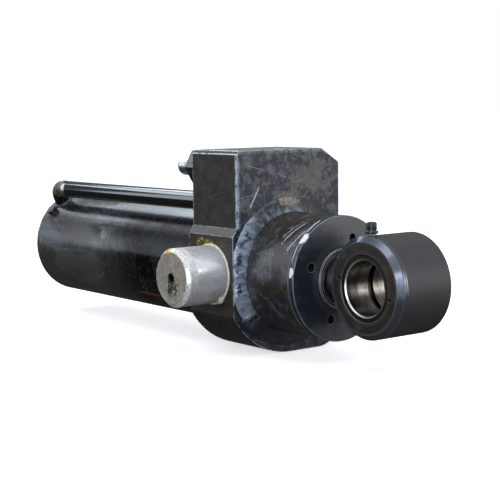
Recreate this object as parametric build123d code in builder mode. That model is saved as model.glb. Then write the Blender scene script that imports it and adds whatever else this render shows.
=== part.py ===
from build123d import *
import os
from math import asin, cos, degrees, radians, sin, sqrt

os.makedirs("parts", exist_ok=True)

# Two-stage, double-acting telescopic hydraulic cylinder, fully retracted, in millimetres.
# +X runs forward along the cylinder axis to the rod eye, Y is the trunnion axis and +Z is up.
# The origin is where the trunnion axis crosses the cylinder axis.

# Barrel
tube_r = 84.0              # outer radius of the long tube
head_r = 82.5              # turned radius of the tube in front of the block
bore_r = 70.0
barrel_rear = -522.0
barrel_front = 145.0
rear_chamfer = 2.0
cap_recess = 4.0           # the end cap sits this deep in the tube
cap_plate = 9.0            # thickness of the cap where it fills the bore
cap_rear = barrel_rear + cap_recess
cap_front = cap_rear + cap_plate
cap_boss_r = 50.0
cap_weld_foot = 8.0

# Trunnion block and pins
block_rear = -50.0
block_front = 50.0
upper_half_width = 91.0
lower_half_width = 98.5
block_top = 168.5
block_bottom = 113.0       # distance of the bottom below the axis, and radius of the left-hand corner
right_corner_r = 48.0
ledge_z = 64.0             # where the sloped ledge meets the upper part
ledge_drop = 10.5
top_corner_width = 32.0    # sloped corner at the top right
top_corner_drop = 20.5
top_left_chamfer = 5.0
edge_chamfer = 2.5
pin_r = 40.0
pin_end = 165.0
pin_chamfer = 5.0
pin_spigot_r = 32.0
pin_spigot_depth = 12.0
centre_drill_r = 5.0
centre_drill_depth = 14.0
centre_drill_cone = 3.0    # further depth of its pointed bottom
pin_weld_leg = 2.5
pin_relief = 1.0           # the pin is this much thinner under its weld

# Pipe, valve and ports
pipe_r = 13.45
pipe_bore_r = 10.0
pipe_angle = radians(121.8)    # round the axis, from +Y towards +Z
pipe_distance = 111.5          # from the cylinder axis
pipe_y = pipe_distance * cos(pipe_angle)
pipe_z = pipe_distance * sin(pipe_angle)
elbow_x = -494.0
elbow_bend = 26.0
pipe_socket = 10.0
bleed_angle = radians(139)
bleed_x = -495.0
bleed_hex = 15.0
bleed_hex_height = 9.0
bleed_thread_r = 4.8
elbow_drilling_r = 8.0
valve_z = 143.5
valve_hex = 46.0
valve_hex_length = 28.0
valve_hex_corner = 1.5         # turned cone across the rear corners of the hexagon
valve_stem_r = 14.0
valve_stem_depth = 45.0
valve_cavity_depth = 60.0
valve_plug_r = 13.5
valve_plug_length = 40.0
valve_plug_edge = 8.0
valve_plug_stem_r = 6.0
valve_plug_stem = 12.0
port_r = 9.5
port_depth = 18.0
front_port_x = 25.0
front_port_z = 132.0
rear_port_x = 0.0
gallery_r = 6.0
cross_drilling_r = 5.0         # from the front gallery down to the bore
gallery_plug_r = 8.5
gallery_plug_seat = 12.0
gallery_plug_set_back = 1.0
gallery_plug_key = 8.0         # hexagon socket, across flats
gallery_plug_key_depth = 6.0
front_weld_foot = 20.0         # up the face of the block
front_weld_reach = 11.0        # along the head
rear_weld_leg = 11.0
saddle_weld_leg = 3.0
pipe_weld_length = 6.0

# Stage 1: sleeve with its piston and head
stage_r = 60.0
stage_bore_r = 50.0
stage_stop_r = 45.0          # inner radius of the lip that carries the sleeve
stage_piston_rear = -486.0
stage_piston_front = -446.0
stage_lip = 10.0
disc_r = 84.0
disc_rear = 148.0
disc_front = 156.8
disc_edge = 0.8
spanner_hole_r = 6.2
spanner_circle_r = 56.0
spanner_first_angle = 70.0
spanner_hole_depth = 6.0
stage_head_rear = 90.0
gland_ring_outer = 40.0
gland_ring_inner = 33.3
gland_seat = 151.0
gland_ring_front = 158.8
gland_ring_edge = 1.5

# Stage 2: rod, piston and eye
rod_r = 30.0
rod_spigot_r = 20.0
rod_rear = -474.0
rod_piston_rear = -456.0
rod_piston_front = -416.0
oil_hole_x = -400.0
oil_hole_r = 3.0
rod_front = 172.0
rod_nut_flats = 60.0
eye_x = 246.5
eye_r = 65.5
eye_half_width = 44.5
eye_bevel = 7.0            # on the near side; the far side only has its sharp edge broken
eye_back_bevel = 1.0
eye_neck_fillet = 5.0
bearing_seat_r = 52.5      # spherical plain bearing 70 x 105 x 49
bearing_seat_half = 20.0
sphere_r = 46.0
pin_bore_r = 35.0
inner_ring_half = 24.5
oil_groove_half = 4.5
oil_groove_r = 37.5
grease_hole_r = 2.0
spacer_end = 43.0          # the spacers stop this far from the middle of the eye
spacer_r = 41.3
spacer_edge = 1.5
joint_edge = 0.6           # broken edge where ring and spacer meet in the bore
retainer_r = 57.5
retainer_bore_r = 42.3
retainer_end = 44.0
retainer_step = 3.0        # the rim outside the thread is stepped back over this depth
retainer_edge = 1.0
key_circle_r = 46.5        # two spanner holes in each retainer ring
key_hole_r = 3.0
key_hole_depth = 8.0
key_angle = 168.0
nipple_y = -30.5
nipple_thread_r = 4.2
nipple_thread_depth = 7.5
nipple_hex = 10.0
nipple_hex_height = 3.0
nipple_head_r = 3.2
nipple_head_height = 9.0
cap_strap_r = 8.5
cap_strap_height = 2.5
cap_tab_r = 3.0
cap_body_r = 6.8
cap_body_height = 12.0

# Clearances between pieces that slide or turn in each other
running = 0.05             # guide rings, bushes and seals on their running faces
free = 0.5                 # metal that never touches

X_DIR = (1, 0, 0)
EYE_AXIS = Axis((eye_x, 0, 0), (0, 1, 0))
EYE_PLANE = Plane.YZ.offset(eye_x)


def save(piece, name):
    """Labels a finished piece and writes its STEP file."""
    piece.part.label = name
    export_step(piece.part, f"parts/{name}.step")


def turned(points, plane=Plane.XZ, axis=Axis.X):
    """A piece turned from its outline of (distance along the axis, radius) points."""
    with BuildPart() as piece:
        with BuildSketch(plane):
            with BuildLine():
                Polyline(*points, close=True)
            make_face()
        revolve(axis=axis)
    return piece


def sleeve(start, end, inner_r, outer_r):
    """The outline of a plain sleeve."""
    return [(start, inner_r), (start, outer_r), (end, outer_r), (end, inner_r)]


def groove(start, end, wall_r, floor_r):
    """The four corners of a groove in a turned wall, walked from start to end."""
    return [(start, wall_r), (start, floor_r), (end, floor_r), (end, wall_r)]


def drill(origin, direction, radius, depth):
    """Cuts a round hole from origin along direction in the piece being built."""
    with Locations(Plane(origin=origin, z_dir=direction)):
        Cylinder(radius, depth, align=(Align.CENTER, Align.CENTER, Align.MIN), mode=Mode.SUBTRACT)


def rod_stock(origin, direction, radius, length):
    """Adds a round bar from origin along direction to the piece being built."""
    with Locations(Plane(origin=origin, z_dir=direction)):
        Cylinder(radius, length, align=(Align.CENTER, Align.CENTER, Align.MIN))


def radial(angle, distance, x):
    """The point at this distance from the cylinder axis, at an angle from +Y towards +Z."""
    return (x, distance * cos(angle), distance * sin(angle))


def both_sides(points):
    """The same turned outline on the +Y side and on the -Y side."""
    return points, [(-along, radius) for along, radius in points]


# ---------------------------------------------------------------- barrel

with BuildPart() as barrel_tube:
    with BuildSketch(Plane.XZ):
        with BuildLine():
            Polyline(
                (barrel_rear, bore_r),
                (barrel_rear, tube_r - rear_chamfer),
                (barrel_rear + rear_chamfer, tube_r),
                (block_front, tube_r),
                (block_front, head_r),
                (barrel_front - 1, head_r),
                (barrel_front, head_r - 1),
                (barrel_front, bore_r),
                close=True,
            )
        make_face()
    revolve(axis=Axis.X)
    drill((elbow_x, 0, 0), radial(pipe_angle, 1, 0), elbow_drilling_r, tube_r + 1)
    drill((bleed_x, 0, 0), radial(bleed_angle, 1, 0), bleed_thread_r, tube_r + 1)
    drill((front_port_x, 0, 0), (0, 0, 1), cross_drilling_r, tube_r + 1)
save(barrel_tube, "barrel_tube")

# The cap's boss leaves an annular space so that both rear drillings reach the bore.
rear_cap = turned(
    [
        (cap_rear, 0),
        (cap_rear, bore_r),
        (cap_front, bore_r),
        (cap_front, cap_boss_r),
        (stage_piston_rear - 2, cap_boss_r),
        (stage_piston_rear - 2, 0),
    ]
)
save(rear_cap, "rear_cap")

rear_cap_weld = turned(
    [
        (cap_rear, bore_r),
        (cap_rear, bore_r - cap_weld_foot),
        (barrel_rear, bore_r - 1),
        (barrel_rear, bore_r),
    ]
)
save(rear_cap_weld, "rear_cap_weld")

# ---------------------------------------------------------------- trunnion block

left_arc_start = degrees(asin(lower_half_width / block_bottom))
left_flat_foot = -sqrt(block_bottom**2 - lower_half_width**2)

with BuildPart() as trunnion_block:
    with BuildSketch(Plane.YZ.offset(block_rear)):
        with BuildLine():
            Line((0, -block_bottom), (lower_half_width - right_corner_r, -block_bottom))
            CenterArc(
                (lower_half_width - right_corner_r, right_corner_r - block_bottom),
                right_corner_r,
                270,
                90,
            )
            Polyline(
                (lower_half_width, right_corner_r - block_bottom),
                (lower_half_width, ledge_z - ledge_drop),
                (upper_half_width, ledge_z),
                (upper_half_width, block_top - top_corner_drop),
                (upper_half_width - top_corner_width, block_top),
                (top_left_chamfer - upper_half_width, block_top),
                (-upper_half_width, block_top - top_left_chamfer),
                (-upper_half_width, ledge_z),
                (-lower_half_width, ledge_z - ledge_drop),
                (-lower_half_width, left_flat_foot),
            )
            CenterArc((0, 0), block_bottom, 270 - left_arc_start, left_arc_start)
        make_face()
    extrude(amount=block_front - block_rear)
    upright = trunnion_block.edges().filter_by(Axis.Z).group_by(Axis.X)[-1].sort_by(Axis.Y)
    chamfer(upright.filter_by(lambda edge: edge.center().Z > ledge_z)[0], edge_chamfer)
    with BuildSketch(Plane.YZ.offset(block_rear)):
        Circle(tube_r)
    extrude(amount=block_front - block_rear, mode=Mode.SUBTRACT)
    for side in (-1, 1):
        drill((0, side * lower_half_width, 0), (0, -side, 0), pin_spigot_r, pin_spigot_depth)
    # Pipe socket and its drilling, the valve cavity and the two side ports
    drill((block_rear, pipe_y, pipe_z), X_DIR, pipe_r, pipe_socket)
    drill((block_rear, pipe_y, pipe_z), X_DIR, pipe_bore_r, rear_port_x + gallery_r + 2 - block_rear)
    drill((block_rear, pipe_y, valve_z), X_DIR, valve_stem_r, valve_cavity_depth)
    drill((block_rear, pipe_y, valve_z), X_DIR, pipe_bore_r, front_port_x + gallery_r + 1 - block_rear)
    for port_x, port_z in ((front_port_x, front_port_z), (rear_port_x, pipe_z)):
        drill((port_x, upper_half_width, port_z), (0, -1, 0), port_r, port_depth)
        drill((port_x, upper_half_width, port_z), (0, -1, 0), gallery_r, upper_half_width - pipe_y)
    drill((front_port_x, 0, block_top), (0, 0, -1), cross_drilling_r, block_top - tube_r + 4)
    drill((front_port_x, 0, block_top), (0, 0, -1), gallery_plug_r, gallery_plug_seat)
save(trunnion_block, "trunnion_block")

with BuildPart() as gallery_plug:
    plug_seat = (front_port_x, 0, block_top - gallery_plug_seat)
    rod_stock(plug_seat, (0, 0, 1), gallery_plug_r, gallery_plug_seat - gallery_plug_set_back)
    with BuildSketch(Plane.XY.offset(block_top - gallery_plug_set_back)):
        with Locations((front_port_x, 0)):
            RegularPolygon(radius=gallery_plug_key / 2, side_count=6, major_radius=False)
    extrude(amount=-gallery_plug_key_depth, mode=Mode.SUBTRACT)
save(gallery_plug, "gallery_plug")

with BuildPart() as front_weld:
    with BuildSketch(Plane.XZ):
        with BuildLine():
            Polyline(
                (block_front, head_r),
                (block_front, head_r + front_weld_foot),
                (block_front + front_weld_reach, head_r),
                close=True,
            )
        make_face()
    revolve(axis=Axis.X)
    with Locations((block_front, 0, 0)):
        Box(4 * front_weld_reach, 2 * lower_half_width, 4 * tube_r, mode=Mode.INTERSECT)
save(front_weld, "front_weld")

rear_weld = turned(
    [
        (block_rear, tube_r),
        (block_rear, tube_r + rear_weld_leg),
        (block_rear - rear_weld_leg, tube_r),
    ]
)
save(rear_weld, "rear_weld")

for pin_name, side in (("trunnion_pin_left", -1), ("trunnion_pin_right", 1)):
    with BuildPart() as trunnion_pin:
        with BuildSketch(Plane.YZ):
            with BuildLine():
                Polyline(
                    (side * (lower_half_width - pin_spigot_depth), 0),
                    (side * (lower_half_width - pin_spigot_depth), pin_spigot_r),
                    (side * lower_half_width, pin_spigot_r),
                    (side * lower_half_width, pin_r - pin_relief),
                    (side * (lower_half_width + pin_weld_leg), pin_r - pin_relief),
                    (side * (lower_half_width + pin_weld_leg), pin_r),
                    (side * (pin_end - pin_chamfer), pin_r),
                    (side * pin_end, pin_r - pin_chamfer),
                    (side * pin_end, centre_drill_r + 1),
                    (side * (pin_end - 1), centre_drill_r),
                    (side * (pin_end - centre_drill_depth), centre_drill_r),
                    (side * (pin_end - centre_drill_depth - centre_drill_cone), 0),
                    close=True,
                )
            make_face()
        revolve(axis=Axis.Y)
    save(trunnion_pin, pin_name)

with BuildPart() as pin_welds:
    pin_fillet = [
        (lower_half_width, pin_r - pin_relief),
        (lower_half_width, pin_r + pin_weld_leg),
        (lower_half_width + pin_weld_leg, pin_r),
        (lower_half_width + pin_weld_leg, pin_r - pin_relief),
    ]
    for outline in both_sides(pin_fillet):
        with BuildSketch(Plane.YZ):
            with BuildLine():
                Polyline(*outline, close=True)
            make_face()
        revolve(axis=Axis.Y)
save(pin_welds, "pin_welds")

# ---------------------------------------------------------------- pipe, bleed plug and valve

# Local X runs forward and local Y runs outward through the pipe.
elbow_plane = Plane(
    origin=(elbow_x, 0, 0), x_dir=X_DIR, z_dir=(0, -sin(pipe_angle), cos(pipe_angle))
)
leg_direction = radial(pipe_angle, 1, 0)

with BuildPart() as pipe_elbow:
    with BuildLine(elbow_plane) as elbow_path:
        Line((0, tube_r - 4), (0, pipe_distance - elbow_bend))
        CenterArc((elbow_bend, pipe_distance - elbow_bend), elbow_bend, 180, -90)
    with BuildSketch(Plane(origin=elbow_path.line @ 0, z_dir=leg_direction)):
        Circle(pipe_r)
        Circle(pipe_bore_r, mode=Mode.SUBTRACT)
    sweep()
    drill((elbow_x - 40, 0, 0), X_DIR, tube_r, 80)
save(pipe_elbow, "pipe_elbow")

pipe_start = elbow_x + elbow_bend
pipe_end = block_rear + pipe_socket

with BuildPart() as pressure_pipe:
    with BuildSketch(Plane.YZ.offset(pipe_start)):
        with Locations((pipe_y, pipe_z)):
            Circle(pipe_r)
            Circle(pipe_bore_r, mode=Mode.SUBTRACT)
    extrude(amount=pipe_end - pipe_start)
save(pressure_pipe, "pressure_pipe")

with BuildPart() as pipe_welds:
    # Saddle weld at the barrel
    with Locations(Plane(origin=radial(pipe_angle, tube_r - 2, elbow_x), z_dir=leg_direction)):
        Cone(
            pipe_r + saddle_weld_leg,
            pipe_r,
            2 + 2 * saddle_weld_leg,
            align=(Align.CENTER, Align.CENTER, Align.MIN),
        )
        Cylinder(pipe_r, 4 * pipe_weld_length, mode=Mode.SUBTRACT)
    drill((elbow_x - 40, 0, 0), X_DIR, tube_r, 80)
    # Butt weld between elbow and pipe, and fillet weld at the block
    for along, foot, top, forward in (
        (pipe_start, pipe_r + 1.6, pipe_r + 0.8, 1),
        (block_rear, pipe_r + 2.8, pipe_r, -1),
    ):
        with Locations(Plane(origin=(along, pipe_y, pipe_z), z_dir=(forward, 0, 0))):
            Cone(foot, top, pipe_weld_length, align=(Align.CENTER, Align.CENTER, Align.MIN))
            Cylinder(pipe_r, 4 * pipe_weld_length, mode=Mode.SUBTRACT)
save(pipe_welds, "pipe_welds")

with BuildPart() as bleed_plug:
    bleed_direction = radial(bleed_angle, 1, 0)
    bleed_seat = radial(bleed_angle, tube_r, bleed_x)
    with BuildSketch(Plane(origin=bleed_seat, z_dir=bleed_direction)):
        RegularPolygon(radius=bleed_hex / 2, side_count=6, major_radius=False)
    extrude(amount=bleed_hex_height)
    chamfer(bleed_plug.edges().group_by(Axis(bleed_seat, bleed_direction))[-1], 1)
    bleed_tip = radial(bleed_angle, bore_r + 2, bleed_x)
    rod_stock(bleed_tip, bleed_direction, bleed_thread_r, tube_r - bore_r - 1)
save(bleed_plug, "bleed_plug")

valve_rear = block_rear - valve_hex_length

with BuildPart() as valve_body:
    with BuildSketch(Plane.YZ.offset(valve_rear)):
        with Locations((pipe_y, valve_z)):
            RegularPolygon(radius=valve_hex / 2, side_count=6, major_radius=False)
    extrude(amount=valve_hex_length)
    # A turned cone takes the corners off the rear end of the hexagon.
    with Locations(Plane(origin=(valve_rear, pipe_y, valve_z), z_dir=X_DIR)):
        Cone(
            valve_hex / 2 + valve_hex_corner,
            valve_hex / 2 + valve_hex_corner + 2 * valve_hex_length,
            valve_hex_length,
            align=(Align.CENTER, Align.CENTER, Align.MIN),
            mode=Mode.INTERSECT,
        )
    rod_stock((block_rear, pipe_y, valve_z), X_DIR, valve_stem_r, valve_stem_depth)
    drill((valve_rear, pipe_y, valve_z), X_DIR, valve_plug_stem_r, valve_plug_stem)
save(valve_body, "valve_body")

with BuildPart() as valve_end_plug:
    rod_stock((valve_rear, pipe_y, valve_z), (-1, 0, 0), valve_plug_r, valve_plug_length)
    fillet(valve_end_plug.edges().group_by(Axis.X)[0], valve_plug_edge)
    rod_stock((valve_rear, pipe_y, valve_z), X_DIR, valve_plug_stem_r, valve_plug_stem)
save(valve_end_plug, "valve_end_plug")

# ---------------------------------------------------------------- barrel gland

gland_rear = 35.0
gland_bushes = ((42.0, 67.0), (104.0, 129.0))
gland_bush_r = 63.0
gland_seal = (77.0, 91.0, 66.0)
gland_wiper = (134.0, 143.0, 65.0)

barrel_gland = turned(
    [(gland_rear, bore_r), (barrel_front, bore_r), (barrel_front, stage_r + free)]
    + groove(gland_wiper[1], gland_wiper[0], stage_r + free, gland_wiper[2])
    + groove(gland_bushes[1][1], gland_bushes[1][0], stage_r + free, gland_bush_r)
    + groove(gland_seal[1], gland_seal[0], stage_r + free, gland_seal[2])
    + groove(gland_bushes[0][1], gland_bushes[0][0], stage_r + free, gland_bush_r)
    + [(gland_rear, stage_r + free)]
)
save(barrel_gland, "barrel_gland")

with BuildPart() as gland_bush_pair:
    for start, end in gland_bushes:
        with BuildSketch(Plane.YZ.offset(start)):
            Circle(gland_bush_r)
            Circle(stage_r + running, mode=Mode.SUBTRACT)
        extrude(amount=end - start)
save(gland_bush_pair, "gland_bushes")

for seal_name, (start, end, floor_r) in (("gland_seal", gland_seal), ("gland_wiper", gland_wiper)):
    save(turned(sleeve(start, end, stage_r + running, floor_r)), seal_name)

# ---------------------------------------------------------------- stage 1

with BuildPart() as stage_tube:
    with BuildSketch(Plane.YZ.offset(stage_piston_rear + stage_lip)):
        Circle(stage_r)
        Circle(stage_bore_r, mode=Mode.SUBTRACT)
    extrude(amount=disc_rear - stage_piston_rear - stage_lip)
    # Four holes pass the return oil between the two annular chambers.
    for quarter in range(4):
        outward = radial(radians(45 + 90 * quarter), 1, 0)
        drill((oil_hole_x, 0, 0), outward, oil_hole_r, stage_r + 1)
save(stage_tube, "stage_tube")

stage_piston_r = bore_r - free
stage_wear_grooves = ((-484.0, -476.0), (-456.0, -448.0))
stage_wear_floor = 67.0
stage_seal_groove = (-471.0, -461.0, 63.0)

stage_piston = turned(
    [(stage_piston_rear, stage_piston_r)]
    + groove(*stage_wear_grooves[0], stage_piston_r, stage_wear_floor)
    + groove(*stage_seal_groove[:2], stage_piston_r, stage_seal_groove[2])
    + groove(*stage_wear_grooves[1], stage_piston_r, stage_wear_floor)
    + [
        (stage_piston_front, stage_piston_r),
        (stage_piston_front, stage_r),
        (stage_piston_rear + stage_lip, stage_r),
        (stage_piston_rear + stage_lip, stage_stop_r),
        (stage_piston_rear, stage_stop_r),
    ]
)
save(stage_piston, "stage_piston")

with BuildPart() as stage_wear_rings:
    for start, end in stage_wear_grooves:
        with BuildSketch(Plane.YZ.offset(start)):
            Circle(bore_r - running)
            Circle(stage_wear_floor, mode=Mode.SUBTRACT)
        extrude(amount=end - start)
save(stage_wear_rings, "stage_wear_rings")

start, end, floor_r = stage_seal_groove
save(turned(sleeve(start, end, floor_r, bore_r - running)), "stage_piston_seal")

rod_bush = (94.0, 119.0, 33.5)
rod_seal = (125.0, 137.0, 36.5)

with BuildPart() as stage_head:
    with BuildSketch(Plane.XZ):
        with BuildLine():
            Polyline(
                (stage_head_rear, stage_bore_r),
                (disc_rear, stage_bore_r),
                (disc_rear, disc_r - disc_edge),
                (disc_rear + disc_edge, disc_r),
                (disc_front - disc_edge, disc_r),
                (disc_front, disc_r - disc_edge),
                (disc_front, gland_ring_outer),
                (gland_seat, gland_ring_outer),
                (gland_seat, rod_r + free),
                *groove(rod_seal[1], rod_seal[0], rod_r + free, rod_seal[2]),
                *groove(rod_bush[1], rod_bush[0], rod_r + free, rod_bush[2]),
                (stage_head_rear, rod_r + free),
                close=True,
            )
        make_face()
    revolve(axis=Axis.X)
    with BuildSketch(Plane.YZ.offset(disc_front)):
        with PolarLocations(spanner_circle_r, 4, start_angle=spanner_first_angle):
            Circle(spanner_hole_r)
    extrude(amount=-spanner_hole_depth, mode=Mode.SUBTRACT)
save(stage_head, "stage_head")

for ring_name, (start, end, floor_r) in (("rod_bush", rod_bush), ("rod_seal", rod_seal)):
    save(turned(sleeve(start, end, rod_r + running, floor_r)), ring_name)

rod_gland_ring = turned(
    [
        (gland_seat, gland_ring_inner),
        (gland_seat, gland_ring_outer),
        (gland_ring_front - gland_ring_edge, gland_ring_outer),
        (gland_ring_front, gland_ring_outer - gland_ring_edge),
        (gland_ring_front, gland_ring_inner + gland_ring_edge),
        (gland_ring_front - gland_ring_edge, gland_ring_inner),
    ]
)
save(rod_gland_ring, "rod_gland_ring")

rod_wiper = turned(sleeve(gland_seat, disc_front - 1, rod_r + running, gland_ring_inner))
save(rod_wiper, "rod_wiper")

# ---------------------------------------------------------------- stage 2: rod and piston

rod = turned(
    [
        (rod_rear, 0),
        (rod_rear, rod_spigot_r),
        (rod_piston_front, rod_spigot_r),
        (rod_piston_front, rod_r),
        (rod_front, rod_r),
        (rod_front, 0),
    ]
)
save(rod, "rod")

with BuildPart() as rod_nut:
    with BuildSketch(Plane.YZ.offset(rod_rear)):
        RegularPolygon(radius=rod_nut_flats / 2, side_count=6, major_radius=False)
        Circle(rod_spigot_r, mode=Mode.SUBTRACT)
    extrude(amount=rod_piston_rear - rod_rear)
save(rod_nut, "rod_nut")

rod_piston_r = stage_bore_r - free
rod_wear_grooves = ((-454.0, -447.0), (-425.0, -418.0))
rod_wear_floor = 47.0
rod_seal_groove = (-441.0, -431.0, 43.0)

rod_piston = turned(
    [(rod_piston_rear, rod_spigot_r), (rod_piston_rear, rod_piston_r)]
    + groove(*rod_wear_grooves[0], rod_piston_r, rod_wear_floor)
    + groove(*rod_seal_groove[:2], rod_piston_r, rod_seal_groove[2])
    + groove(*rod_wear_grooves[1], rod_piston_r, rod_wear_floor)
    + [(rod_piston_front, rod_piston_r), (rod_piston_front, rod_spigot_r)]
)
save(rod_piston, "rod_piston")

with BuildPart() as rod_wear_rings:
    for start, end in rod_wear_grooves:
        with BuildSketch(Plane.YZ.offset(start)):
            Circle(stage_bore_r - running)
            Circle(rod_wear_floor, mode=Mode.SUBTRACT)
        extrude(amount=end - start)
save(rod_wear_rings, "rod_wear_rings")

start, end, floor_r = rod_seal_groove
save(turned(sleeve(start, end, floor_r, stage_bore_r - running)), "rod_piston_seal")

# ---------------------------------------------------------------- rod eye and its bearing

eye_top = (eye_x, nipple_y, eye_r)

with BuildPart() as rod_eye:
    with BuildSketch(EYE_PLANE):
        with BuildLine():
            Polyline(
                (-eye_half_width, 0),
                (-eye_half_width, eye_r - eye_bevel),
                (eye_bevel - eye_half_width, eye_r),
                (eye_half_width - eye_back_bevel, eye_r),
                (eye_half_width, eye_r - eye_back_bevel),
                (eye_half_width, 0),
                close=True,
            )
        make_face()
    revolve(axis=EYE_AXIS)
    rod_stock((rod_front, 0, 0), X_DIR, rod_r, eye_x - eye_r + 12 - rod_front)
    neck_edges = rod_eye.edges().filter_by(
        lambda edge: abs(edge.bounding_box().size.Y - 2 * rod_r) < 0.5
    )
    fillet(neck_edges.sort_by(Axis.X)[-1], eye_neck_fillet)
    for side in (-1, 1):
        outer_face = (eye_x, side * eye_half_width, 0)
        drill(outer_face, (0, -side, 0), retainer_r, eye_half_width - bearing_seat_half)
    drill((eye_x, -eye_half_width, 0), (0, 1, 0), bearing_seat_r, 2 * eye_half_width)
    drill(eye_top, (0, 0, -1), nipple_thread_r, eye_r - bearing_seat_r)
save(rod_eye, "rod_eye")

ring_outline = [
    (inner_ring_half, retainer_bore_r),
    (bearing_seat_half, retainer_bore_r + 3.5),
    (bearing_seat_half, retainer_r),
    (retainer_end - retainer_step, retainer_r),
    (retainer_end - retainer_step, retainer_r - retainer_edge),
    (retainer_end, retainer_r - retainer_edge),
    (retainer_end, retainer_bore_r + retainer_edge),
    (retainer_end - retainer_edge, retainer_bore_r),
]
spacer_outline = [
    (inner_ring_half + joint_edge, pin_bore_r),
    (inner_ring_half, pin_bore_r + joint_edge),
    (inner_ring_half, spacer_r),
    (spacer_end, spacer_r),
    (spacer_end, pin_bore_r + spacer_edge),
    (spacer_end - spacer_edge, pin_bore_r),
]

for side, ring_side, spacer_side in zip(
    ("right", "left"), both_sides(ring_outline), both_sides(spacer_outline)
):
    with BuildPart() as retainer_ring:
        with BuildSketch(EYE_PLANE):
            with BuildLine():
                Polyline(*ring_side, close=True)
            make_face()
        revolve(axis=EYE_AXIS)
        outward = 1 if side == "right" else -1
        for turn in (0, 180):
            tilt = radians(turn + key_angle)
            mouth = (eye_x + key_circle_r * cos(tilt), outward * retainer_end, key_circle_r * sin(tilt))
            drill(mouth, (0, -outward, 0), key_hole_r, key_hole_depth)
    save(retainer_ring, f"retainer_ring_{side}")
    save(turned(spacer_side, EYE_PLANE, EYE_AXIS), f"spacer_{side}")

with BuildPart() as bearing_outer_ring:
    ring_edge_r = sqrt(sphere_r**2 - bearing_seat_half**2)
    with BuildSketch(EYE_PLANE):
        with BuildLine():
            Polyline(
                (bearing_seat_half, ring_edge_r),
                (bearing_seat_half, bearing_seat_r),
                (-bearing_seat_half, bearing_seat_r),
                (-bearing_seat_half, ring_edge_r),
            )
            ThreePointArc(
                (-bearing_seat_half, ring_edge_r), (0, sphere_r), (bearing_seat_half, ring_edge_r)
            )
        make_face()
    revolve(axis=EYE_AXIS)
save(bearing_outer_ring, "bearing_outer_ring")

with BuildPart() as bearing_inner_ring:
    ball_r = sphere_r - running
    ball_edge_r = sqrt(ball_r**2 - inner_ring_half**2)
    with BuildSketch(EYE_PLANE):
        with BuildLine():
            Polyline(
                (-inner_ring_half, ball_edge_r),
                (-inner_ring_half, pin_bore_r + joint_edge),
                (joint_edge - inner_ring_half, pin_bore_r),
                *groove(-oil_groove_half, oil_groove_half, pin_bore_r, oil_groove_r),
                (inner_ring_half - joint_edge, pin_bore_r),
                (inner_ring_half, pin_bore_r + joint_edge),
                (inner_ring_half, ball_edge_r),
            )
            ThreePointArc(
                (inner_ring_half, ball_edge_r), (0, ball_r), (-inner_ring_half, ball_edge_r)
            )
        make_face()
    revolve(axis=EYE_AXIS)
    drill((eye_x, 0, 0), (0, 0, 1), grease_hole_r, sphere_r + 1)
save(bearing_inner_ring, "bearing_inner_ring")

# ---------------------------------------------------------------- grease nipple and dust cap

with BuildPart() as grease_nipple:
    thread_start = (eye_x, nipple_y, eye_r - nipple_thread_depth)
    rod_stock(thread_start, (0, 0, 1), nipple_thread_r, nipple_thread_depth)
    with BuildSketch(Plane.XY.offset(eye_r)):
        with Locations((eye_x, nipple_y)):
            RegularPolygon(radius=nipple_hex / 2, side_count=6, major_radius=False)
    extrude(amount=nipple_hex_height)
    rod_stock(
        (eye_x, nipple_y, eye_r + nipple_hex_height), (0, 0, 1), nipple_head_r, nipple_head_height
    )
save(grease_nipple, "grease_nipple")

with BuildPart() as nipple_cap:
    cap_base_z = eye_r + nipple_hex_height
    cap_base = (eye_x, nipple_y, cap_base_z)
    rod_stock(cap_base, (0, 0, 1), cap_strap_r, cap_strap_height)
    tab_base = (eye_x + cap_strap_r - 0.5, nipple_y, cap_base_z)
    rod_stock(tab_base, (0, 0, 1), cap_tab_r, cap_strap_height)
    body_base = (eye_x, nipple_y, cap_base_z + cap_strap_height)
    rod_stock(body_base, (0, 0, 1), cap_body_r, cap_body_height)
    fillet(nipple_cap.edges().group_by(Axis.Z)[-1], 1.5)
    drill(cap_base, (0, 0, 1), nipple_head_r, nipple_head_height)
save(nipple_cap, "nipple_cap")
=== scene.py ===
import random
from functools import reduce
from math import cos, pi, radians, sin, sqrt

import bmesh
import bpy
from mathutils import Matrix, Vector, noise


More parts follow.
